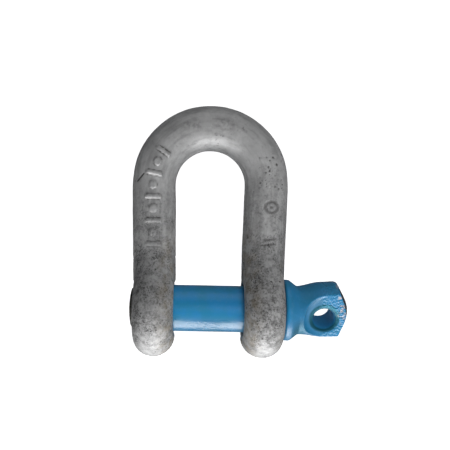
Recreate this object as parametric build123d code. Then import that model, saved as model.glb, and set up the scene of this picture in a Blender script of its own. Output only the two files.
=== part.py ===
from build123d import *
import os
from math import asin, cos, degrees, radians, sin, sqrt, tan

# A screw-pin dee shackle, in millimetres.
# Origin: on the pin's axis, midway between the two ears.
# +X runs along the pin towards its head, and +Z runs up to the crown.

# Body: the round bar of its arch and legs. Each leg thins on its way down through its ear,
# where it swells the inner side above and below the pin, and ends in a ball.
# Its corner radius is a share of its thickness, which leaves it round but for hairline flats.
LEG_BAR = 26.2
CROWN_BAR = 27.3
FOOT_BAR = 24.2
BAR_ROUNDNESS = 0.496
ARCH_INNER_RADIUS = 21.0
ARCH_CENTRE_Z = 74.9
ARCH_STEP_ANGLE = 15
LEG_TAPER_TOP_Z = 28.0
FOOT_X = 32.1
FOOT_Z = -16.9
FOOT_BALL_RADIUS = 12.2
LEG_STEPS = 11

# Body: the two ears
JAW = 41.6
EAR_THICKNESS = 24.0
EAR_RADIUS = 29.1
EAR_ROUNDING = 11.5
EAR_FLARE_RADIUS = 36.0

# Body: the right ear's plain hole, with a bell mouth on each side, and the collar's seat
HOLE_RADIUS = 15.3
INNER_FLARE = 2.1
OUTER_FLARE = 1.4
SEAT_RADIUS = 19.2
SEAT_DEPTH = 3.0

# Body: raised marks up the front of the left leg and round the start of the arch.
# They are plain bars and studs in turn, and mean nothing.
MARK_HEIGHT = 1.1
BAR_LENGTH = 9.6
BAR_WIDTH = 1.8
STUD_RADIUS = 2.2
MARK_SPACING = 7.0
MARK_FIRST_Z = 39.0
LEG_MARKS = 6
ARCH_MARKS = 3

# Thread: right-hand, with 60 degree flanks. The pin's crests clear the ear's crests by
# CREST_GAP all round, so that the pin can be drawn straight out.
PITCH = 3.5
THREAD_DEPTH = 1.7
GROOVE_WIDTH = 3.06
FLANK_ANGLE = 30.0
PIN_CREST_RADIUS = 13.45
CREST_GAP = 0.2
THREAD_MOUTH = 2.0
CUTTER_MARGIN = 0.3
PIECES_PER_TURN = 2

# Pin: domed tip, threaded end and shank
TIP_X = -47.8
TIP_DOME_RADIUS = 50.0
TIP_CHAMFER = 2.2
THREAD_END_X = -22.0
SHANK_START_X = -21.2
SHANK_CHAMFER = 0.5
SHANK_RADIUS = 14.0

# Pin: collar and neck
COLLAR_GAP = 0.3
COLLAR_RADIUS = 18.4
COLLAR_LAND = 3.8
COLLAR_ROUNDING = 1.0
NECK_RADIUS = 14.6
NECK_X = 53.8
NECK_OVERLAP = 2.0

# Pin: the flattened head and the eye through it. These are its sizes before it leans up
# by HEAD_LEAN about the middle of the neck.
HEAD_RADIUS = 16.7
HEAD_SHOULDER_X = 69.5
HEAD_CORNER_X = 78.0
HEAD_FLANK_ANGLE = 27.0
HEAD_NOSE_RADIUS = 18.0
HEAD_THICKNESS = 17.6
HEAD_ANGLE = 21.0
HEAD_LEAN = 3.2
FLAT_END_RADIUS = 18.0
FLAT_END_X = 74.2
FLAT_FILLET = 5.0
EYE_X = 69.2
EYE_DROP = 2.2
EYE_RADIUS = 6.4
EYE_FLARE = 2.0

# Worked out from the sizes above
ear_x = (JAW + EAR_THICKNESS) / 2
ear_inner_x = JAW / 2
ear_outer_x = JAW / 2 + EAR_THICKNESS
arch_end_x = ARCH_INNER_RADIUS + LEG_BAR / 2
collar_x = ear_outer_x + COLLAR_GAP
ear_crest_radius = PIN_CREST_RADIUS + CREST_GAP
pin_turns = int((THREAD_END_X - TIP_X) / PITCH) + 1
pin_thread_x = THREAD_END_X - pin_turns * PITCH


def turned(*outline):
    """A solid of revolution about the pin's axis, from its outline in (x, radius) points."""
    return revolve(make_face(Polyline(*outline, close=True)), Axis.X)


def bell_mouthed_hole(radius, flare, length):
    """A cutter along +X from the origin, whose far end opens out like a bell."""
    with BuildLine() as outline:
        Polyline((0, 0), (0, radius), (length - flare, radius))
        CenterArc((length - flare, radius + flare), flare, -90, 90)
        Polyline((length, radius + flare), (length + flare, radius + flare), (length + flare, 0), (0, 0))
    return revolve(make_face(outline.line), Axis.X)


def ease(share):
    """A smooth rise from 0 to 1, level at both ends."""
    share = min(max(share, 0), 1)
    return share**2 * (3 - 2 * share)


def bar_section(x, z, direction, size):
    """The bar's cross-section."""
    plane = Plane(origin=(x, 0, z), x_dir=(0, 1, 0), z_dir=direction)
    return plane * RectangleRounded(size, size, size * BAR_ROUNDNESS)


def arch_bar(angle):
    """The bar's thickness on the arch, at an angle in radians from the arch's left end."""
    return LEG_BAR + (CROWN_BAR - LEG_BAR) * sin(angle)


def leg_bar(z):
    """The bar's thickness in a leg at height z."""
    return FOOT_BAR + (LEG_BAR - FOOT_BAR) * ease((z - FOOT_Z) / (LEG_TAPER_TOP_Z - FOOT_Z))


def leg_x(z):
    """The middle of the right leg at height z. The legs lean out a little."""
    return FOOT_X + (arch_end_x - FOOT_X) * (z - FOOT_Z) / (ARCH_CENTRE_Z - FOOT_Z)


def make_arch():
    """The crown and both legs, down to where each foot ends inside its ear."""
    left_leg = []
    right_leg = []
    for step in range(LEG_STEPS):
        z = FOOT_Z + (ARCH_CENTRE_Z - FOOT_Z) * step / LEG_STEPS
        left_leg.append(bar_section(-leg_x(z), z, (0, 0, 1), leg_bar(z)))
        right_leg.append(bar_section(leg_x(z), z, (0, 0, -1), leg_bar(z)))
    arch = []
    for angle in range(0, 181, ARCH_STEP_ANGLE):
        across = cos(radians(angle))
        up = sin(radians(angle))
        size = arch_bar(radians(angle))
        radius = ARCH_INNER_RADIUS + size / 2
        section = bar_section(-radius * across, ARCH_CENTRE_Z + radius * up, (up, 0, across), size)
        arch.append(section)
    bar = loft(left_leg + arch + right_leg[::-1])
    return bar + [Pos(side * FOOT_X, 0, FOOT_Z) * Sphere(FOOT_BALL_RADIUS) for side in (-1, 1)]


def ear_outline():
    """An ear seen along the pin: a disc that flares up into a round-ended strip."""
    half = EAR_THICKNESS / 2
    flare_y = half + EAR_FLARE_RADIUS
    reach = EAR_RADIUS + EAR_FLARE_RADIUS
    flare_z = sqrt(reach**2 - flare_y**2)
    touch = degrees(asin(flare_z / reach))
    with BuildLine(Plane.YZ) as outline:
        CenterArc((flare_y, flare_z), EAR_FLARE_RADIUS, 180, touch)
        CenterArc((0, 0), EAR_RADIUS, touch, -180 - 2 * touch)
        CenterArc((-flare_y, flare_z), EAR_FLARE_RADIUS, 0, -touch)
        CenterArc((0, flare_z), half, 180, -180)
    return make_face(outline.line)


def make_ear(x):
    """A solid ear centred on x, with a round rim. Its strip is hidden inside the leg."""
    ear = extrude(ear_outline(), EAR_THICKNESS / 2, both=True)
    sides = ear.faces().sort_by(Axis.X)
    rim = sides[0].edges() + sides[-1].edges()
    return Pos(x, 0, 0) * fillet(rim, EAR_ROUNDING)


def plain_hole():
    """The cutter for the right ear's hole, its bell mouths and the flat seat for the collar."""
    half = (ear_outer_x - ear_inner_x) / 2
    inner = mirror(bell_mouthed_hole(HOLE_RADIUS, INNER_FLARE, half), Plane.YZ)
    outer = bell_mouthed_hole(HOLE_RADIUS, OUTER_FLARE, half)
    seat = Rot(0, 90, 0) * Cylinder(SEAT_RADIUS, SEAT_DEPTH, align=(Align.CENTER, Align.CENTER, Align.MIN))
    return Pos(ear_inner_x + half, 0, 0) * (inner + outer) + Pos(ear_outer_x, 0, 0) * seat


def tapped_hole():
    """The cutter for the left ear's hole at its crests, with a chamfered mouth at each face."""
    return turned(
        (-ear_outer_x - THREAD_MOUTH, 0),
        (-ear_outer_x - THREAD_MOUTH, ear_crest_radius + 2 * THREAD_MOUTH),
        (-ear_outer_x + THREAD_MOUTH, ear_crest_radius),
        (-ear_inner_x - THREAD_MOUTH, ear_crest_radius),
        (-ear_inner_x + THREAD_MOUTH, ear_crest_radius + 2 * THREAD_MOUTH),
        (-ear_inner_x + THREAD_MOUTH, 0),
    )


def thread_cutter(crest_radius, inwards, start_x, turns):
    """A right-hand helical cutter about the X axis, made of equal parts of a turn."""
    taper = tan(radians(FLANK_ANGLE))
    mouth = GROOVE_WIDTH / 2 + CUTTER_MARGIN * taper
    root = GROOVE_WIDTH / 2 - THREAD_DEPTH * taper
    mouth_radius = crest_radius + inwards * CUTTER_MARGIN
    root_radius = crest_radius - inwards * THREAD_DEPTH
    corners = [(mouth_radius, -mouth), (mouth_radius, mouth), (root_radius, root), (root_radius, -root)]
    advance = PITCH / PIECES_PER_TURN
    faces = []
    ends = []
    for piece in range(turns * PIECES_PER_TURN):
        turn = Rot(360 / PIECES_PER_TURN * piece, 0, 0)
        edges = []
        for radius, x in corners:
            helix = Edge.make_helix(PITCH, advance, radius, normal=(1, 0, 0))
            edges.append(Pos(start_x + x + piece * advance, 0, 0) * turn * helix)
        faces += [Face.make_surface_from_curves(edges[i - 1], edges[i]) for i in range(len(edges))]
        ends += [[edge @ 0 for edge in edges], [edge @ 1 for edge in edges]]
    faces += [Face(Wire.make_polygon(end)) for end in (ends[0], ends[-1])]
    return Solid(Shell(faces))


def raised_mark(number, size):
    """A bar, or for an odd number a stud, that stands proud of a leg of the given thickness."""
    front = size / 2 + MARK_HEIGHT
    if number % 2:
        return Rot(90, 0, 0) * Cylinder(STUD_RADIUS, front, align=(Align.CENTER, Align.CENTER, Align.MIN))
    bar = Box(BAR_LENGTH, front, BAR_WIDTH, align=(Align.CENTER, Align.MAX, Align.CENTER))
    return bar & Cylinder(front, BAR_WIDTH)


def raised_marks():
    """The column of marks, each square to the bar where it stands."""
    marks = []
    for number in range(LEG_MARKS):
        z = MARK_FIRST_Z + MARK_SPACING * number
        marks.append(Pos(-leg_x(z), 0, z) * raised_mark(number, leg_bar(z)))
    for number in range(LEG_MARKS, LEG_MARKS + ARCH_MARKS):
        angle = (MARK_FIRST_Z + MARK_SPACING * number - ARCH_CENTRE_Z) / arch_end_x
        turn = Pos(0, 0, ARCH_CENTRE_Z) * Rot(0, degrees(angle), 0) * Pos(-arch_end_x, 0, 0)
        marks.append(turn * raised_mark(number, arch_bar(angle)))
    return marks


def make_body():
    """The forged body: arch, two ears, a plain hole, a tapped hole and raised marks.

    The tapped hole's grooves stand opposite the pin's ridges, and run out past both its ends.
    """
    body = make_arch() + make_ear(-ear_x) + make_ear(ear_x)
    for mark in raised_marks():
        body += mark
    body -= plain_hole()
    body -= tapped_hole()
    return body - thread_cutter(ear_crest_radius, -1, pin_thread_x - PITCH / 2, pin_turns + 2)


def dome_x(radius):
    """Where the pin's domed tip stands at a distance from its axis."""
    return TIP_X + TIP_DOME_RADIUS - sqrt(TIP_DOME_RADIUS**2 - radius**2)


def shaft():
    """The turned pin from its tip to its collar, before its thread is cut.

    The collar's slope runs on inside the neck, where the head joins it.
    """
    dome_radius = PIN_CREST_RADIUS - TIP_CHAMFER
    dome_edge = (dome_x(dome_radius), dome_radius)
    slope = (NECK_X - collar_x - COLLAR_LAND) / (COLLAR_RADIUS - NECK_RADIUS)
    end_x = NECK_X + NECK_OVERLAP
    end_radius = NECK_RADIUS - NECK_OVERLAP / slope
    with BuildLine() as outline:
        ThreePointArc((TIP_X, 0), (dome_x(dome_radius / 2), dome_radius / 2), dome_edge)
        Polyline(
            dome_edge,
            (dome_edge[0] + TIP_CHAMFER, PIN_CREST_RADIUS),
            (SHANK_START_X - SHANK_CHAMFER, PIN_CREST_RADIUS),
            (SHANK_START_X, SHANK_RADIUS),
            (collar_x, SHANK_RADIUS),
            (collar_x, COLLAR_RADIUS - COLLAR_ROUNDING),
            (collar_x + COLLAR_ROUNDING, COLLAR_RADIUS),
            (collar_x + COLLAR_LAND, COLLAR_RADIUS),
            (end_x, end_radius),
            (end_x, 0),
            (TIP_X, 0),
        )
    return revolve(make_face(outline.line), Axis.X)


def head_blank():
    """The neck and head as turned, before the flats and the eye are cut."""
    flank = radians(HEAD_FLANK_ANGLE)
    rise = HEAD_RADIUS - HEAD_NOSE_RADIUS * sin(flank)
    nose_centre_x = HEAD_CORNER_X + rise * tan(flank) - HEAD_NOSE_RADIUS * cos(flank)
    touch = (nose_centre_x + HEAD_NOSE_RADIUS * cos(flank), HEAD_NOSE_RADIUS * sin(flank))
    nose_middle = (
        nose_centre_x + HEAD_NOSE_RADIUS * cos(flank / 2),
        HEAD_NOSE_RADIUS * sin(flank / 2),
    )
    start_x = NECK_X - NECK_OVERLAP
    neck = (NECK_X, NECK_RADIUS)
    shoulder = (HEAD_SHOULDER_X, HEAD_RADIUS)
    nose = (nose_centre_x + HEAD_NOSE_RADIUS, 0)
    with BuildLine() as outline:
        Polyline((start_x, 0), (start_x, NECK_RADIUS), neck)
        Spline(neck, shoulder, tangents=((1, 0), (1, 0)))
        Polyline(shoulder, (HEAD_CORNER_X, HEAD_RADIUS), touch)
        ThreePointArc(touch, nose_middle, nose)
        Line(nose, (start_x, 0))
    return revolve(make_face(outline.line), Axis.X)


def head_flat(side):
    """The cutter for one flat of the head: side is -1 for the front and 1 for the back."""
    width = 2 * FLAT_END_RADIUS
    plane = Plane.XZ.offset(-side * HEAD_THICKNESS / 2)
    outline = Pos(FLAT_END_X, 0) * Circle(FLAT_END_RADIUS)
    outline += Pos(FLAT_END_X, 0) * Rectangle(width, width, align=(Align.MIN, Align.CENTER))
    cutter = extrude(plane * outline, -side * width)
    floor = cutter.faces().sort_by(Axis.Y)[0 if side > 0 else -1]
    return fillet(floor.edges(), FLAT_FILLET)


def head_eye():
    """The cutter for the eye, which is a little off the head's middle, with two bell mouths."""
    front = bell_mouthed_hole(EYE_RADIUS, EYE_FLARE, HEAD_THICKNESS / 2)
    return Pos(EYE_X, 0, -EYE_DROP) * Rot(0, 0, 90) * (front + mirror(front, Plane.YZ))


def make_head():
    """The flattened head with its eye, turned about the pin's axis and leaning up."""
    head = head_blank() - head_flat(-1) - head_flat(1) - head_eye()
    lean = Pos(NECK_X, 0, 0) * Rot(0, -HEAD_LEAN, 0) * Pos(-NECK_X, 0, 0)
    return lean * Rot(HEAD_ANGLE, 0, 0) * head


def make_pin():
    """The screw pin: a threaded shaft with a collar, and the head."""
    return shaft() + make_head() - thread_cutter(PIN_CREST_RADIUS, 1, pin_thread_x, pin_turns)


parts = {"shackle_body": make_body(), "screw_pin": make_pin()}
os.makedirs("parts", exist_ok=True)
for name, shape in parts.items():
    export_step(shape, f"parts/{name}.step")
    print(name, round(shape.volume), shape.is_valid, len(shape.solids()), shape.bounding_box())
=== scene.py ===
import math
import random

import bmesh
import bpy
import numpy as np
from mathutils import Matrix, Vector, kdtree, noise


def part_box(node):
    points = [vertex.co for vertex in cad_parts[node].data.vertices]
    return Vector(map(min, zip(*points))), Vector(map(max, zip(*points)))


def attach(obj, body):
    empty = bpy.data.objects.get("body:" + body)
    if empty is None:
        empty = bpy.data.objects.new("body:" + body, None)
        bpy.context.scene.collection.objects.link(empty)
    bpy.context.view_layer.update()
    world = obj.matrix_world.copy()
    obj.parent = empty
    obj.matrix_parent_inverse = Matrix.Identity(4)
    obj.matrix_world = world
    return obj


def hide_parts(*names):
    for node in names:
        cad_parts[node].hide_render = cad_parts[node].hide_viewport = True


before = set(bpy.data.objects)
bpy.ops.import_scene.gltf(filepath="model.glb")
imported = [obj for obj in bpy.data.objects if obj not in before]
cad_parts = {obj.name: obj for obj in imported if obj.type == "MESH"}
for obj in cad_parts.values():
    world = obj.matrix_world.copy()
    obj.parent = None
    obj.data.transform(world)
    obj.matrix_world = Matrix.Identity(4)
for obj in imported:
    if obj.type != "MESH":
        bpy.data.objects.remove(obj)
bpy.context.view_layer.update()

# A screw-pin dee shackle: a galvanised forged body and a blue painted pin.
# Everything is in metres. The pin's axis is X, its head is at +X, and the crown is at +Z.

MM = 0.001

# Sizes of the design, which the frame's boxes don't give
LEG_X = 33.8 * MM
ARCH_CENTRE_Z = 74.9 * MM
ARCH_MIDDLE_RADIUS = 34.5 * MM
HOLE_KEEP_CLEAR = 16.5 * MM
EAR_INNER_X = 20.8 * MM
SHANK_START_X = -21.5 * MM
COLLAR_X = 45.1 * MM
NECK_X = 53.8 * MM
HEAD_CORNER_X = 78.0 * MM
HEAD_TURN = math.radians(21)
HEAD_LEAN = math.radians(3.2)
EYE_X = 69.2 * MM
EYE_DROP = 2.2 * MM
EYE_RADIUS = 6.4 * MM
EYE_FLARE = 2.0 * MM
BELL_RADIUS = EYE_RADIUS + EYE_FLARE


# ---------------------------------------------------------------- camera and light

VIEW_WIDTH = 274.5 * MM
VIEW_CENTRE_X = 9.5 * MM
CAMERA_PLACE = Vector((-12, -360, 50.6)) * MM
CAMERA_ROLL = math.radians(1.1)
OBJECT_MIDDLE = Vector((0.01, 0, 0.04))
WORLD_COLOUR = (0.52, 0.53, 0.55, 1)
WORLD_STRENGTH = 0.24


def make_camera():
    """A close, level view from in front of the jaw, rolled by a hair."""
    data = bpy.data.cameras.new("camera")
    data.lens = data.sensor_width * -CAMERA_PLACE.y / VIEW_WIDTH
    data.shift_x = (VIEW_CENTRE_X - CAMERA_PLACE.x) / VIEW_WIDTH
    camera = bpy.data.objects.new("camera", data)
    bpy.context.collection.objects.link(camera)
    turn = Matrix.Rotation(math.radians(90), 4, "X") @ Matrix.Rotation(CAMERA_ROLL, 4, "Z")
    camera.matrix_world = Matrix.Translation(CAMERA_PLACE) @ turn
    bpy.context.scene.camera = camera


def area_light(name, place, size, power, in_reflections=True):
    """A soft rectangular light that faces the object and isn't seen by the camera."""
    data = bpy.data.lights.new(name, "AREA")
    data.shape = "RECTANGLE"
    data.size, data.size_y = size
    data.energy = power
    light = bpy.data.objects.new(name, data)
    bpy.context.collection.objects.link(light)
    place = Vector(place)
    turn = (OBJECT_MIDDLE - place).to_track_quat("-Z", "Y")
    light.matrix_world = Matrix.Translation(place) @ turn.to_matrix().to_4x4()
    light.visible_camera = False
    light.visible_glossy = in_reflections


def make_studio():
    """Soft light, most of it from below, with a little from the front, side, back and top."""
    world = bpy.data.worlds.new("studio")
    world.use_nodes = True
    background = world.node_tree.nodes["Background"]
    background.inputs["Color"].default_value = WORLD_COLOUR
    background.inputs["Strength"].default_value = WORLD_STRENGTH
    bpy.context.scene.world = world
    bpy.context.scene.view_settings.view_transform = "Standard"
    area_light("under_light", (0.04, -0.12, -1.0), size=(1.3, 0.8), power=23.5)
    area_light("front_light", (0.30, -1.0, 0.10), size=(0.5, 0.5), power=5.5, in_reflections=False)
    area_light("side_light", (0.75, -0.45, 0.05), size=(0.4, 0.6), power=1.2, in_reflections=False)
    area_light("back_light", (-0.30, 1.0, 0.25), size=(0.6, 0.6), power=5.5, in_reflections=False)
    area_light("top_light", (0.1, -0.3, 0.9), size=(0.6, 0.6), power=0.6)


# ---------------------------------------------------------------- node helpers


class Nodes:
    """Short calls for building one material's nodes."""

    def __init__(self, name):
        self.material = bpy.data.materials.new(name)
        self.material.use_nodes = True
        self.tree = self.material.node_tree
        self.shader = self.tree.nodes["Principled BSDF"]
        self.place = self.add("ShaderNodeTexCoord").outputs["Object"]

    def add(self, kind, **settings):
        node = self.tree.nodes.new(kind)
        for key, value in settings.items():
            setattr(node, key, value)
        return node

    def fill(self, node, values):
        """Sets each named or numbered input from a number, a colour or another node's output."""
        for key, value in values.items():
            if isinstance(value, bpy.types.NodeSocket):
                self.tree.links.new(value, node.inputs[key])
            else:
                node.inputs[key].default_value = value

    def noise(self, size, detail, roughness):
        """Noise whose blobs are about size metres across."""
        node = self.add("ShaderNodeTexNoise")
        values = {"Vector": self.place, "Scale": 1 / size, "Detail": detail, "Roughness": roughness}
        self.fill(node, values)
        return node.outputs["Fac"]

    def ramp(self, value, low, high):
        """0 where value is at low, rising smoothly to 1 where it is at high."""
        node = self.add("ShaderNodeMapRange", interpolation_type="SMOOTHSTEP")
        self.fill(node, {"Value": value, "From Min": low, "From Max": high})
        return node.outputs["Result"]

    def math(self, operation, first, second):
        node = self.add("ShaderNodeMath", operation=operation)
        self.fill(node, {0: first, 1: second})
        return node.outputs[0]

    def times(self, first, second):
        return self.math("MULTIPLY", first, second)

    def plus(self, first, second):
        return self.math("ADD", first, second)

    def larger(self, first, second):
        return self.math("MAXIMUM", first, second)

    def mix(self, share, first, second):
        """The first colour where share is 0, and the second where it is 1."""
        node = self.add("ShaderNodeMix", data_type="RGBA", blend_type="MIX")
        self.fill(node, {"Factor": share, "A": first, "B": second})
        return node.outputs["Result"]

    def attribute(self, name):
        return self.add("ShaderNodeAttribute", attribute_name=name).outputs["Fac"]

    def bump(self, height, distance, under=None):
        """A normal for relief that is distance metres high, laid over the relief under it."""
        node = self.add("ShaderNodeBump")
        self.fill(node, {"Height": height, "Distance": distance, "Strength": 1.0})
        if under:
            self.fill(node, {"Normal": under})
        return node.outputs["Normal"]


def grey(value, warm=0.0):
    """A grey, a little warmer or cooler."""
    return (value * (1 + warm), value, value * (1 - warm), 1)


# ---------------------------------------------------------------- materials

ZINC = grey(0.37)
PALE_ZINC = grey(0.46)
CLOUDED_ZINC = grey(0.20)
STREAK_GREY = grey(0.19)
DARK_SPOT = grey(0.12)
BRIGHT_SPOT = grey(0.72)
SPECK = grey(0.06)
# One dark colour for real pits and marks, and for painted shade
GRIME_AND_SHADE = grey(0.03, 0.08)
BROWN_STAIN = (0.23, 0.185, 0.115, 1)

TEAL_ENAMEL = (0.014, 0.215, 0.40, 1)
BLUE_ENAMEL = (0.015, 0.225, 0.50, 1)
HEAD_ENAMEL = (0.014, 0.15, 0.29, 1)
# Painted shade for paint on faces that point down
UNDERSIDE_SHADE_ENAMEL = (0.035, 0.115, 0.20, 1)
THIN_ENAMEL = (0.07, 0.25, 0.50, 1)
DARK_FLECK = (0.006, 0.065, 0.14, 1)
# Painted shade for the eye's bell mouth and below the neck
SHADE_ENAMEL = (0.003, 0.085, 0.12, 1)
BLACK_STEEL = grey(0.025)
WORN_STEEL = grey(0.10, 0.06)
PALE_CHIP = (0.78, 0.71, 0.70, 1)
RUSTY_CHIP = (0.12, 0.06, 0.045, 1)


def galvanised_steel():
    """Dull hot-dip zinc: soft mottling, fine speckle, dark pits and faint brown stains, with painted
    shade in the hollows and in the right ear's hole.
    """
    n = Nodes("galvanised_steel")
    worn = n.attribute("worn")
    patches = n.noise(13 * MM, detail=4, roughness=0.6)
    spots = n.noise(3.4 * MM, detail=8, roughness=0.78)
    grain = n.noise(1.0 * MM, detail=5, roughness=0.75)
    clouds = n.noise(8 * MM, detail=3, roughness=0.6)
    blots = n.noise(6 * MM, detail=5, roughness=0.65)
    clusters = n.times(n.ramp(clouds, 0.42, 0.60), worn)
    dark_share = n.plus(n.times(worn, 0.45), 0.2)
    bright_share = n.plus(n.times(worn, 0.3), 0.2)
    stain = n.times(n.attribute("stain"), n.ramp(blots, 0.38, 0.66))

    colour = n.mix(n.ramp(patches, 0.32, 0.68), ZINC, PALE_ZINC)
    colour = n.mix(n.times(clusters, 0.35), colour, CLOUDED_ZINC)
    colour = n.mix(n.times(n.attribute("streak"), 0.4), colour, STREAK_GREY)
    colour = n.mix(n.times(n.ramp(spots, 0.53, 0.38), dark_share), colour, DARK_SPOT)
    colour = n.mix(n.times(n.ramp(spots, 0.56, 0.70), bright_share), colour, BRIGHT_SPOT)
    colour = n.mix(n.times(n.ramp(grain, 0.51, 0.60), clusters), colour, SPECK)
    # Real pits, specks and marks, and painted shade in the hollows and the right ear's hole, darkened
    # with one colour
    colour = n.mix(n.attribute("grime_and_shade"), colour, GRIME_AND_SHADE)
    colour = n.mix(stain, colour, BROWN_STAIN)

    roughness = n.plus(n.times(spots, 0.30), n.plus(n.times(worn, 0.24), 0.30))
    normal = n.bump(patches, 0.30 * MM)
    normal = n.bump(spots, 0.22 * MM, under=normal)
    normal = n.bump(grain, 0.08 * MM, under=normal)
    n.fill(n.shader, {"Base Color": colour, "Metallic": 0.35, "Roughness": roughness, "Normal": normal})
    return n.material


def blue_paint():
    """Thick blue enamel over forged steel, with chips, bare steel on the thread, and painted shade on
    faces that point down, in the eye's bell mouth and below the neck.
    """
    n = Nodes("blue_paint")
    outside = n.attribute("outside")
    hammered = n.attribute("hammered")
    eye_and_neck_shade = n.attribute("eye_and_neck_shade")
    bare = n.attribute("bare")
    chipped = n.attribute("chipped")
    patches = n.noise(11 * MM, detail=3, roughness=0.55)
    lumps = n.noise(1.9 * MM, detail=4, roughness=0.6)
    grain = n.noise(0.5 * MM, detail=3, roughness=0.6)
    dents = n.times(n.noise(1.1 * MM, detail=2, roughness=0.5), hammered)

    paint = n.mix(n.ramp(patches, 0.35, 0.65), TEAL_ENAMEL, BLUE_ENAMEL)
    paint = n.mix(n.times(outside, 0.6), paint, HEAD_ENAMEL)
    # Painted shade: darker paint on faces that point down
    paint = n.mix(n.attribute("underside_shade"), paint, UNDERSIDE_SHADE_ENAMEL)
    paint = n.mix(n.times(n.ramp(lumps, 0.55, 0.72), 0.3), paint, THIN_ENAMEL)
    paint = n.mix(n.times(n.ramp(grain, 0.62, 0.78), 0.6), paint, DARK_FLECK)
    # Painted shade in the eye's bell mouth and below the neck
    paint = n.mix(eye_and_neck_shade, paint, SHADE_ENAMEL)
    steel = n.mix(n.ramp(lumps, 0.40, 0.60), BLACK_STEEL, WORN_STEEL)
    chip = n.mix(n.ramp(grain, 0.40, 0.60), PALE_CHIP, RUSTY_CHIP)
    colour = n.mix(chipped, n.mix(bare, paint, steel), chip)

    dull = n.plus(n.times(outside, 0.26), n.times(hammered, -0.24))
    paint_roughness = n.plus(n.times(patches, 0.20), n.plus(dull, 0.22))
    steel_roughness = n.times(n.larger(bare, chipped), 0.6)
    normal = n.bump(patches, 0.25 * MM)
    normal = n.bump(lumps, 0.06 * MM, under=normal)
    normal = n.bump(dents, 0.6 * MM, under=normal)
    values = {
        "Base Color": colour,
        # Bare steel, and the painted shade in the eye's bell mouth and below the neck, take a share of
        # Metallic, so their dark colour also darkens the reflection there
        "Metallic": n.times(n.larger(bare, eye_and_neck_shade), 0.7),
        "Roughness": n.larger(paint_roughness, steel_roughness),
        "Normal": normal,
        "Coat Weight": 0.12,
        "Coat Roughness": 0.2,
    }
    n.fill(n.shader, values)
    return n.material


def pale_floor():
    """Matt white acrylic, faintly clouded, which glows as a light table does."""
    n = Nodes("pale_floor")
    cloud = n.noise(400 * MM, detail=2, roughness=0.5)
    colour = n.mix(n.ramp(cloud, 0.3, 0.7), grey(0.80), grey(0.84))
    n.fill(n.shader, {"Base Color": colour, "Roughness": 0.7})
    n.fill(n.shader, {"Emission Color": grey(1.0), "Emission Strength": 0.95})
    return n.material


def pale_backdrop():
    """A plain pale wall that glows evenly."""
    n = Nodes("pale_backdrop")
    n.fill(n.shader, {"Base Color": grey(0.8), "Emission Color": grey(1.0), "Emission Strength": 1.0})
    return n.material


# ---------------------------------------------------------------- mesh helpers

WELD_DISTANCE = 0.001 * MM
NOISE_FALL_OFF = 0.9
NOISE_STEP = 2.1


class Skin:
    """A fine, even copy of a CAD node, whose points can be moved before it becomes a piece."""

    def __init__(self, node, name, voxel):
        draft = bpy.data.objects.new(name + "_draft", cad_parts[node].data.copy())
        bpy.context.collection.objects.link(draft)
        weld = bmesh.new()
        weld.from_mesh(draft.data)
        bmesh.ops.remove_doubles(weld, verts=weld.verts, dist=WELD_DISTANCE)
        weld.to_mesh(draft.data)
        weld.free()
        remesh = draft.modifiers.new("remesh", "REMESH")
        remesh.mode = "VOXEL"
        remesh.voxel_size = voxel
        view = bpy.context.evaluated_depsgraph_get()
        self.mesh = bpy.data.meshes.new_from_object(draft.evaluated_get(view))
        self.mesh.materials.clear()
        self.name = name
        self.low, self.high = (np.array(corner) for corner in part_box(node))
        bpy.data.objects.remove(draft)
        self.points = np.empty(len(self.mesh.vertices) * 3)
        self.mesh.vertices.foreach_get("co", self.points)
        self.points = self.points.reshape(-1, 3)
        edges = np.empty(len(self.mesh.edges) * 2, dtype=int)
        self.mesh.edges.foreach_get("vertices", edges)
        self.edges = edges.reshape(-1, 2)

    def normals(self):
        self.mesh.vertices.foreach_set("co", self.points.ravel())
        self.mesh.update()
        normals = np.empty(len(self.points) * 3)
        self.mesh.vertex_normals.foreach_get("vector", normals)
        return normals.reshape(-1, 3)

    def relax(self, weight, rounds):
        """Moves each point towards the middle of its neighbours, by its own weight."""
        start, end = self.edges.T
        count = np.bincount(self.edges.ravel(), minlength=len(self.points))[:, None]
        for _ in range(rounds):
            total = np.zeros_like(self.points)
            np.add.at(total, start, self.points[end])
            np.add.at(total, end, self.points[start])
            self.points += weight[:, None] * (total / count - self.points)

    def hollows(self, rounds):
        """How far each point lies below its relaxed place, and the relaxed places."""
        start = self.points.copy()
        self.relax(np.ones(len(start)), rounds)
        relaxed = self.points
        depth = ((relaxed - start) * self.normals()).sum(axis=1)
        self.points = start
        return depth, relaxed

    def raise_by(self, height):
        """Moves each point out along its normal by its own height."""
        self.points += self.normals() * height[:, None]

    def store(self, name, values):
        """Keeps one number per point, from 0 to 1, for the material to read."""
        layer = self.mesh.attributes.new(name, "FLOAT", "POINT")
        layer.data.foreach_set("value", np.clip(values, 0, 1).astype(np.float32))

    def piece(self, material):
        """Makes the piece, kept inside the box of the CAD node that it stands for."""
        self.points = np.clip(self.points, self.low, self.high)
        self.normals()
        self.mesh.name = self.name
        self.mesh.materials.append(material)
        self.mesh.polygons.foreach_set("use_smooth", [True] * len(self.mesh.polygons))
        piece = bpy.data.objects.new(self.name, self.mesh)
        bpy.context.collection.objects.link(piece)
        return piece


def smooth_step(values, low, high):
    """0 below low, 1 above high, and a smooth rise between. low may be the larger of the two."""
    share = np.clip((values - low) / (high - low), 0, 1)
    return share * share * (3 - 2 * share)


def between(values, low, high):
    """True where a value lies between the two limits."""
    return (values > low) & (values < high)


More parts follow.
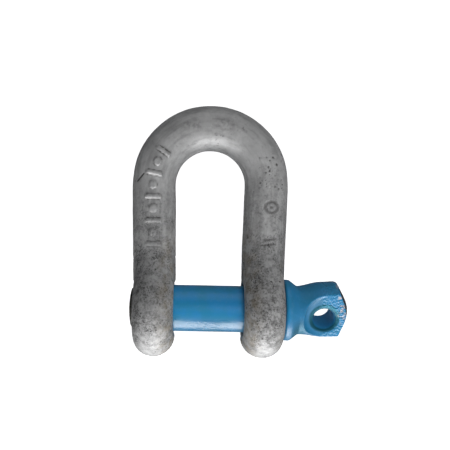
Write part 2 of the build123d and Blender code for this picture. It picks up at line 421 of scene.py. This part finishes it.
def rough(points, size, octaves=1, seed=0):
    """Noise between about -1 and 1 at each point, with blobs about size metres across."""
    offset = Vector((seed, -seed, 2 * seed))
    places = (Vector(point) / size + offset for point in points.tolist())
    return np.array([noise.fractal(place, NOISE_FALL_OFF, NOISE_STEP, octaves) for place in places])


def pits(points, choices, number, radius, rng):
    """Depth from 0 to 1 of round pits scattered over the chosen points."""
    tree = kdtree.KDTree(len(points))
    for index, point in enumerate(points.tolist()):
        tree.insert(point, index)
    tree.balance()
    depth = np.zeros(len(points))
    for _ in range(number):
        centre = points[rng.choice(choices)]
        reach = radius * rng.uniform(0.5, 1.5)
        strength = rng.uniform(0.4, 1.0)
        for _, index, distance in tree.find_range(Vector(centre), reach):
            share = 1 - (distance / reach) ** 2
            depth[index] = max(depth[index], strength * share)
    return depth


def from_line(x, z, start, end):
    """Distance seen from the front from each point to the line between two places."""
    along_x, along_z = end.x - start.x, end.z - start.z
    length = math.hypot(along_x, along_z)
    share = ((x - start.x) * along_x + (z - start.z) * along_z) / length**2
    share = np.clip(share, 0, 1)
    return np.hypot(x - start.x - share * along_x, z - start.z - share * along_z)


# ---------------------------------------------------------------- the body

BODY_VOXEL = 0.55 * MM
FRONT_Y = -3 * MM

# Heights and depths of the surface, in millimetres
BODY_SWELL = 0.20
BODY_WAVE = 0.06
BODY_HAMMER = 0.045
FOOT_RIPPLE = 0.06
PIT_DEPTH = 0.28
SCRATCH_DEPTH = 0.3
PUNCH_DEPTH = 0.35

# Marks on the front
SCRATCH_START = Vector((-43.6, 0, 76.2)) * MM
SCRATCH_END = Vector((-39.8, 0, 80.6)) * MM
SCRATCH_EDGE = (0.6 * MM, 0.2 * MM)
PUNCHED_Y = (-6 * MM, -8 * MM)
RING_X = 36.0 * MM
RING_Z = 62.0 * MM
RING_RADIUS = 3.1 * MM
RING_STRETCH = 1.25
RING_EDGE = (1.0 * MM, 0.45 * MM)
DOT_EDGE = (1.1 * MM, 0.5 * MM)
BAR_LEFT_X = 32 * MM
BAR_RIGHT_X = 39 * MM
BAR_RISE = 0.8 * MM
BAR_EDGE = (0.9 * MM, 0.4 * MM)
BARS_Z = (39.5 * MM, 42.5 * MM)
SMUDGES_MIDDLE_X = -1.5 * MM
SMUDGE_OFFSET = 10 * MM
SMUDGE_Z = 109.5 * MM
SMUDGE_STRETCH = 1.6
SMUDGE_EDGE = (6 * MM, 1 * MM)

# Zones. A pair is where one starts and where it is full, and a single value is a limit or a middle
OFF_HOLES = (HOLE_KEEP_CLEAR, HOLE_KEEP_CLEAR + 2.5 * MM)
# Where the right ear's hole gets painted shade, round the pin
SHADED_HOLE = (17.5 * MM, 15.5 * MM)
RAISED_MARKS_Y = (-10.5 * MM, -12 * MM)
RAISED_MARKS_RIGHT_X = -18 * MM
RAISED_MARKS_BOTTOM_Z = 34 * MM
HOLLOW_DEPTH = (0.03 * MM, 0.12 * MM)
RIPPLE_Z = (-14 * MM, -20 * MM)
SOOTY_LEFT_X = (-30 * MM, -41 * MM)
SOOTY_RIGHT_X = 33 * MM
SOOTY_RIGHT_REACH = (9 * MM, 3 * MM)
SOOTY_ABOVE_Z = (-20 * MM, -8 * MM)
SOOTY_BELOW_Z = (30 * MM, 14 * MM)
WORN_Z = (88 * MM, 22 * MM)
CLEAN_FOOT_Z = (-14 * MM, -27 * MM)
INNER_STAIN_X = (LEG_X - 1 * MM, EAR_INNER_X + 2 * MM)
INNER_STAIN_Z = (62 * MM, 20 * MM)
OUTER_STAIN_X = (LEG_X + 4 * MM, LEG_X + 12 * MM)
OUTER_STAIN_Z = (46 * MM, 20 * MM)

# Where the pits are thickest
PITTED_SHOULDER_X = (28 * MM, 43 * MM)
PITTED_SHOULDER_Z = (72 * MM, 94 * MM)
PITTED_EARS_Z = (-24 * MM, 22 * MM)
PITTED_FOOT_Z = (12 * MM, 46 * MM)
PITS_FROM_HOLE = 3 * MM

RIPPLE_LENGTH = 1.8 * MM
STREAK_STRETCH = 7


def streaks(points):
    """Faint forging streaks that run along the bar, as noise between about -1 and 1."""
    x, y, z = points.T
    up = np.maximum(z - ARCH_CENTRE_Z, 0)
    along = np.arctan2(up, np.abs(x)) * ARCH_MIDDLE_RADIUS + np.minimum(z - ARCH_CENTRE_Z, 0)
    across = np.hypot(x, up) * np.where(x < 0, -1, 1)
    return rough(np.column_stack([along / STREAK_STRETCH, across, y]), 2.2 * MM, octaves=3, seed=12)


def punch_marks(x, y, z):
    """Depth from 0 to 1 of a ringed dot and two short bars punched into the right leg's front."""
    from_middle = np.hypot((x - RING_X) / RING_STRETCH, z - RING_Z)
    ring = smooth_step(np.abs(from_middle - RING_RADIUS), *RING_EDGE)
    depth = np.maximum(ring, smooth_step(from_middle, *DOT_EDGE))
    for bar_z in BARS_Z:
        start = Vector((BAR_LEFT_X, 0, bar_z))
        end = Vector((BAR_RIGHT_X, 0, bar_z + BAR_RISE))
        depth = np.maximum(depth, smooth_step(from_line(x, z, start, end), *BAR_EDGE))
    return depth * smooth_step(y, *PUNCHED_Y)


def body_pits(points, places, from_axis):
    """Depth from 0 to 1 of the pits, thickest on the right shoulder, the ears and the right foot."""
    x, y, z = places.T
    front = y < FRONT_Y
    shoulder = front & between(x, *PITTED_SHOULDER_X) & between(z, *PITTED_SHOULDER_Z)
    ears = front & between(z, *PITTED_EARS_Z)
    right_foot = front & (x > 0) & between(z, *PITTED_FOOT_Z)
    anywhere = from_axis > HOLE_KEEP_CLEAR + PITS_FROM_HOLE
    rng = random.Random(11)
    depth = pits(points, np.flatnonzero(shoulder), 50, 0.95 * MM, rng)
    depth = np.maximum(depth, pits(points, np.flatnonzero(ears), 70, 0.65 * MM, rng))
    depth = np.maximum(depth, pits(points, np.flatnonzero(right_foot), 45, 0.75 * MM, rng))
    return np.maximum(depth, 0.7 * pits(points, np.flatnonzero(anywhere), 170, 0.8 * MM, rng))


def body_relief(points, places):
    """Height in millimetres of the forging's swells and hammering, and of ripples on its feet."""
    x, _, z = places.T
    swell = BODY_SWELL * rough(points, 24 * MM) + BODY_WAVE * rough(points, 6 * MM, octaves=2, seed=5)
    hammer = BODY_HAMMER * rough(points, 2.4 * MM, octaves=3, seed=9)
    ripple_zone = smooth_step(z, *RIPPLE_Z) * np.where(x < 0, 1.0, 0.3)
    wander = 0.5 * rough(points, 12 * MM)
    ripple = FOOT_RIPPLE * ripple_zone * np.sin(2 * math.pi * (z / RIPPLE_LENGTH + wander))
    return swell + hammer + ripple


def body_speckle(points, places):
    """Fine dark specks, in patches, and on the left ear's outer side and the right ear's middle."""
    x, _, z = places.T
    right_ear = smooth_step(np.abs(x - SOOTY_RIGHT_X), *SOOTY_RIGHT_REACH)
    sooty = np.maximum(smooth_step(x, *SOOTY_LEFT_X), right_ear)
    sooty *= smooth_step(z, *SOOTY_ABOVE_Z) * smooth_step(z, *SOOTY_BELOW_Z)
    patchy = smooth_step(rough(points, 20 * MM, octaves=2, seed=7), 0.0, 0.5)
    specks = rough(points, 1.6 * MM, octaves=2, seed=3)
    specks = smooth_step(specks, 0.35 - 0.35 * sooty, 0.6 - 0.2 * sooty)
    return np.maximum(patchy, sooty) * specks


def body_smudges(points, places):
    """Two soft dark smudges side by side on the crown's front."""
    x, y, z = places.T
    across = np.abs(x - SMUDGES_MIDDLE_X) - SMUDGE_OFFSET
    from_middle = np.hypot(across / SMUDGE_STRETCH, z - SMUDGE_Z)
    smudge = smooth_step(from_middle, *SMUDGE_EDGE) * (y < FRONT_Y)
    return smudge * smooth_step(rough(points, 2.2 * MM, octaves=3, seed=14), -0.3, 0.4)


def body_stain(x, z):
    """Brown stain on the ears' inner sides and the right ear's outer side."""
    inner_side = smooth_step(np.abs(x), *INNER_STAIN_X) * smooth_step(z, *INNER_STAIN_Z)
    outer_side = smooth_step(x, *OUTER_STAIN_X) * smooth_step(z, *OUTER_STAIN_Z)
    return 0.5 * np.maximum(inner_side, 0.7 * outer_side)


def make_body():
    """The forging: soft blends, an uneven hammered surface, pits, punch marks and stains, with painted
    shade in the hollows and in the right ear's hole.
    """
    skin = Skin("shackle_body", "forged_body", BODY_VOXEL)
    x, y, z = skin.points.T
    from_axis = np.hypot(y, z)
    off_holes = smooth_step(from_axis, *OFF_HOLES)
    marks = smooth_step(y, *RAISED_MARKS_Y) * (x < RAISED_MARKS_RIGHT_X) * (z > RAISED_MARKS_BOTTOM_Z)
    skin.relax(0.5 * off_holes * (1 - marks), 6)
    skin.relax(0.4 * off_holes * marks, 1)
    hollow, places = skin.hollows(3)
    x, y, z = places.T

    pit = body_pits(skin.points, places, from_axis)
    scratch = smooth_step(from_line(x, z, SCRATCH_START, SCRATCH_END), *SCRATCH_EDGE) * (y < FRONT_Y)
    punched = punch_marks(x, y, z)
    height = body_relief(skin.points, places)
    height = height - PIT_DEPTH * pit - SCRATCH_DEPTH * scratch - PUNCH_DEPTH * punched
    skin.raise_by(off_holes * height * MM)

    # Painted shade: darker in the hollows, round the raised marks and in the forging's creases
    hollow_shade = smooth_step(hollow, *HOLLOW_DEPTH)
    smudges = body_smudges(skin.points, places)
    # One dark layer for real pits, specks, the scratch, darker punch marks and smudges, and for painted
    # shade
    grime_and_shade = 0.9 * smooth_step(pit, 0.35, 0.9) + 0.5 * body_speckle(skin.points, places)
    for layer in (0.8 * hollow_shade, 0.95 * scratch, 0.5 * punched, 0.35 * smudges):
        grime_and_shade = np.maximum(grime_and_shade, layer)
    # Painted shade inside the right ear's hole, round the pin
    hole_shade = smooth_step(from_axis, *SHADED_HOLE) * (x > 0)
    clean_foot = 0.55 * smooth_step(z, *CLEAN_FOOT_Z)
    skin.store("grime_and_shade", np.maximum(grime_and_shade * off_holes, 0.75 * hole_shade))
    skin.store("worn", smooth_step(z, *WORN_Z) * (1 - clean_foot))
    skin.store("streak", smooth_step(streaks(skin.points), -0.15, 0.6))
    skin.store("stain", body_stain(x, z) * off_holes)
    piece = skin.piece(galvanised_steel())
    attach(piece, "body")
    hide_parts("shackle_body")


# ---------------------------------------------------------------- the pin

PIN_VOXEL = 0.42 * MM

# Heights and depths of the surface, in millimetres
HEAD_SWELL = 0.16
SHANK_DRIPS = 0.02
HEAD_DRIPS = 0.03
HEAD_HAMMER = 0.14
CHIP_DEPTH = 0.12

# Zones. A pair is where one starts and where it is full, and a single value is a limit or a middle
OFF_THREAD_X = (SHANK_START_X, SHANK_START_X + 1 * MM)
THREAD_X = (SHANK_START_X + 0.4 * MM, SHANK_START_X - 0.4 * MM)
OUTSIDE_X = (COLLAR_X + 1 * MM, COLLAR_X + 4 * MM)
HEAD_X = (56 * MM, 62 * MM)
SHARP_CORNER_X = (HEAD_CORNER_X - 4 * MM, HEAD_CORNER_X - 2.5 * MM)
SHARP_CORNER_RADIUS = 13 * MM
FLATS = (10.5 * MM, 9.2 * MM)
RIGHT_OF_EYE = (EYE_X - 5 * MM, EYE_X + 2 * MM)
OFF_BELL = (BELL_RADIUS - 0.4 * MM, BELL_RADIUS + 1 * MM)
EDGE_ALONG = (HEAD_CORNER_X - 2.0 * MM, HEAD_CORNER_X + 0.5 * MM)
EDGE_RADIUS = (6 * MM, 11 * MM)
EDGE_UP = (-7 * MM, -3 * MM)
WORN_END_ALONG = (EYE_X + 4 * MM, EYE_X + 7 * MM)
WORN_END_UP = (-3 * MM, -1 * MM)
WORN_END_RAGGED = 4 * MM
SPECKLED_X = 1 * MM
SPECKLED_REACH = (18 * MM, 3 * MM)
NECK_REACH = (5.5 * MM, 2.5 * MM)
# Where the eye's bell mouth gets painted shade: a ring round the eye whose middle sits a little higher
RING_SHADE_RISE = 0.8 * MM
RING_SHADE_RADIUS = (BELL_RADIUS + 1.5 * MM, BELL_RADIUS + 0.3 * MM)
OFF_EYE = (EYE_RADIUS, EYE_RADIUS + 0.8 * MM)


def head_places(points):
    """Places along the head, across its flats and up it, in its own leaning, turned directions."""
    x, y, z = points.T
    along = NECK_X + (x - NECK_X) * math.cos(HEAD_LEAN) + z * math.sin(HEAD_LEAN)
    level_z = z * math.cos(HEAD_LEAN) - (x - NECK_X) * math.sin(HEAD_LEAN)
    up = level_z * math.cos(HEAD_TURN) - y * math.sin(HEAD_TURN)
    across = y * math.cos(HEAD_TURN) + level_z * math.sin(HEAD_TURN)
    return along, across, up


def eye_surround(head, along, across, from_eye):
    """Where the head's flats are hammered, outside the bell mouth and to the right of the eye."""
    zone = head * smooth_step(np.abs(across), *FLATS)
    zone *= smooth_step(along, *RIGHT_OF_EYE)
    return zone * smooth_step(from_eye, *OFF_BELL)


def chipped_edge(points, along, up, facing_x):
    """Where paint is chipped off the edge round the head's end, except low down."""
    _, y, z = points.T
    edge = smooth_step(along, *EDGE_ALONG)
    edge *= smooth_step(facing_x, 0.75, 0.45) * smooth_step(np.hypot(y, z), *EDGE_RADIUS)
    edge *= smooth_step(up, *EDGE_UP)
    return smooth_step(rough(points, 2.4 * MM, octaves=3, seed=8), 0.10, 0.24) * edge


def worn_end(points, along, up, facing_x, chips):
    """Where the head's end is bare steel: above a ragged line, and not where it is chipped."""
    end = smooth_step(facing_x, 0.55, 0.80) * smooth_step(along, *WORN_END_ALONG)
    ragged = WORN_END_RAGGED * rough(points, 5 * MM, octaves=3, seed=10)
    return end * (smooth_step(up + ragged, *WORN_END_UP) * (1 - chips))


def pin_relief(points, outside, head, around_eye):
    """Height in millimetres of the head's swells, the paint's drips and the hammering."""
    swell = HEAD_SWELL * outside * rough(points, 14 * MM, seed=2)
    drips = (SHANK_DRIPS + HEAD_DRIPS * head) * rough(points, 3.2 * MM, octaves=2, seed=4)
    hammer = HEAD_HAMMER * around_eye * rough(points, 1.4 * MM, octaves=3, seed=6)
    return swell + drips + hammer


def make_pin():
    """The screw pin: painted shank, collar and head, bare thread, chipped edge to the head."""
    skin = Skin("screw_pin", "painted_pin", PIN_VOXEL)
    x, y, z = skin.points.T
    off_thread = smooth_step(x, *OFF_THREAD_X)
    corner = smooth_step(x, *SHARP_CORNER_X) * (np.hypot(y, z) > SHARP_CORNER_RADIUS)
    skin.relax(0.5 * off_thread * (1 - corner), 5)

    x = skin.points[:, 0]
    facing_x, _, facing_z = skin.normals().T
    along, across, up = head_places(skin.points)
    from_eye = np.hypot(along - EYE_X, up + EYE_DROP)
    outside = smooth_step(x, *OUTSIDE_X)
    head = smooth_step(x, *HEAD_X)
    around_eye = eye_surround(head, along, across, from_eye)
    chips = chipped_edge(skin.points, along, up, facing_x)
    bare_end = worn_end(skin.points, along, up, facing_x, chips)
    height = pin_relief(skin.points, outside, head, around_eye) - CHIP_DEPTH * chips
    skin.raise_by(off_thread * height * MM)

    x = skin.points[:, 0]
    speckled = smooth_step(np.abs(x - SPECKLED_X), *SPECKLED_REACH) * smooth_step(facing_z, -0.3, -0.6)
    # Painted shade: a dark ring in the eye's bell mouth, and the neck's downward-facing side
    from_ring_shade = np.hypot(along - EYE_X, up + EYE_DROP - RING_SHADE_RISE)
    ring_shade = smooth_step(from_ring_shade, *RING_SHADE_RADIUS) * smooth_step(from_eye, *OFF_EYE)
    neck_shade = smooth_step(np.abs(x - NECK_X), *NECK_REACH) * smooth_step(facing_z, -0.1, -0.6)
    skin.store("bare", np.maximum(smooth_step(x, *THREAD_X), 0.9 * bare_end))
    skin.store("chipped", chips * off_thread)
    skin.store("hammered", np.maximum(around_eye, 0.9 * speckled))
    skin.store("eye_and_neck_shade", np.maximum(0.9 * head * ring_shade, 0.6 * neck_shade))
    # Painted shade on faces that point down, except on the hammered flats round the eye
    skin.store("underside_shade", 0.8 * smooth_step(facing_z, 0.1, -0.7) * (1 - around_eye))
    skin.store("outside", outside)
    piece = skin.piece(blue_paint())
    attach(piece, "pin")
    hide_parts("screw_pin")


# ---------------------------------------------------------------- floor and backdrop

FLOOR_HALF_WIDTH = 6.0
FLOOR_GAP = 0.2 * MM
WALL_RADIUS = 5.5
WALL_TOP = 4.0
WALL_SIDES = 64


def stage_piece(name, points, faces, material):
    """A piece of the studio, which doesn't shade the object, light it or reflect in it."""
    mesh = bpy.data.meshes.new(name)
    mesh.from_pydata(points, [], faces)
    mesh.materials.append(material)
    piece = bpy.data.objects.new(name, mesh)
    bpy.context.collection.objects.link(piece)
    piece.visible_shadow = False
    piece.visible_glossy = False
    piece.visible_diffuse = False


def make_floor(level):
    """The floor under the ears."""
    half = FLOOR_HALF_WIDTH
    corners = [(-half, -half, level), (half, -half, level), (half, half, level), (-half, half, level)]
    stage_piece("floor", corners, [(0, 1, 2, 3)], pale_floor())


def make_backdrop(level):
    """A round wall about the object, standing on the floor."""
    turns = [2 * math.pi * side / WALL_SIDES for side in range(WALL_SIDES)]
    ring = [(WALL_RADIUS * math.cos(turn), WALL_RADIUS * math.sin(turn)) for turn in turns]
    points = [(x, y, z) for z in (level, WALL_TOP) for x, y in ring]
    faces = []
    for side in range(WALL_SIDES):
        following = (side + 1) % WALL_SIDES
        faces.append((side, following, WALL_SIDES + following, WALL_SIDES + side))
    stage_piece("backdrop", points, faces, pale_backdrop())


make_camera()
make_studio()
body_low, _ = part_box("shackle_body")
floor_level = body_low.z - FLOOR_GAP
make_floor(floor_level)
make_backdrop(floor_level)
make_body()
make_pin()
